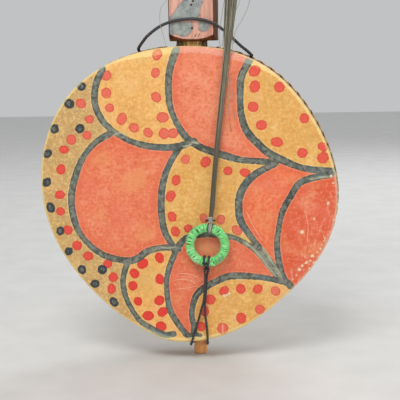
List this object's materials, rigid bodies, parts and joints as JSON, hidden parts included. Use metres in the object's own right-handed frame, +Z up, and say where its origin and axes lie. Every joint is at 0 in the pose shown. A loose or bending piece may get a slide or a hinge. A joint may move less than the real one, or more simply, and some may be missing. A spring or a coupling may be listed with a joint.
{
  "type": "one-string fiddle",
  "caption": "One-string spike fiddle: round skin-covered body with a painted face, flat neck, hair string on a side peg, yarn-wrapped tail ring and a black strap cord.",
  "frame": {"origin": "on the spike's axis, 1.5 mm above its rounded tip, where its straight wall begins", "axes": "+X to the right of someone facing the painted skin, +Y out of the plain back skin, +Z up the neck along the spike's axis"},
  "size_m": [0.3016, 0.076, 0.6635],
  "materials": {
    "painted_skin": "hand-painted rawhide, matt, slightly rough",
    "plain_skin": "bare rawhide, waxy and mottled",
    "hoop_wood": "raw bent wood",
    "thong": "rawhide thong, dry",
    "painted_wood": "hand-painted and worn on the handle, bare on the spike",
    "hide_collar": "golden-brown hide, glossy in places",
    "waxed_thread": "dark waxed thread",
    "iron": "dark hand-cut nails and wire",
    "wedge_wood": "raw split wood",
    "horsehair": "olive-grey hair with a soft sheen",
    "binding_thread": "grey twisted thread",
    "green_yarn": "bright green wool yarn, fuzzy",
    "black_cord": "black twisted cord with a faint sheen",
    "peg_wood": "dark turned wood, hand-polished"
  },
  "bodies": {
    "fiddle": {"hoop": "hoop_wood", "hoop_nails": "iron", "front_skin": "painted_skin", "back_skin": "plain_skin", "lacing": "thong", "neck": "painted_wood", "neck_nails": "iron", "neck_collar": "hide_collar", "collar_stitches": "waxed_thread", "tang_wedge": "wedge_wood", "string": "horsehair", "string_binding": "binding_thread", "ring_core": "iron", "ring_wrap": "green_yarn", "tail_hitch": "black_cord", "tail_cord": "black_cord", "strap_cord": "black_cord", "strap_knots": "black_cord"},
    "peg": {"tuning_peg": "peg_wood", "string_winding": "horsehair"}
  },
  "joints": [
    {"name": "peg_turn", "type": "hinge", "parent": "fiddle", "child": "peg", "pos_m": [0, 0, 0.59], "axis": [1, 0, 0], "continuous": true}
  ]
}
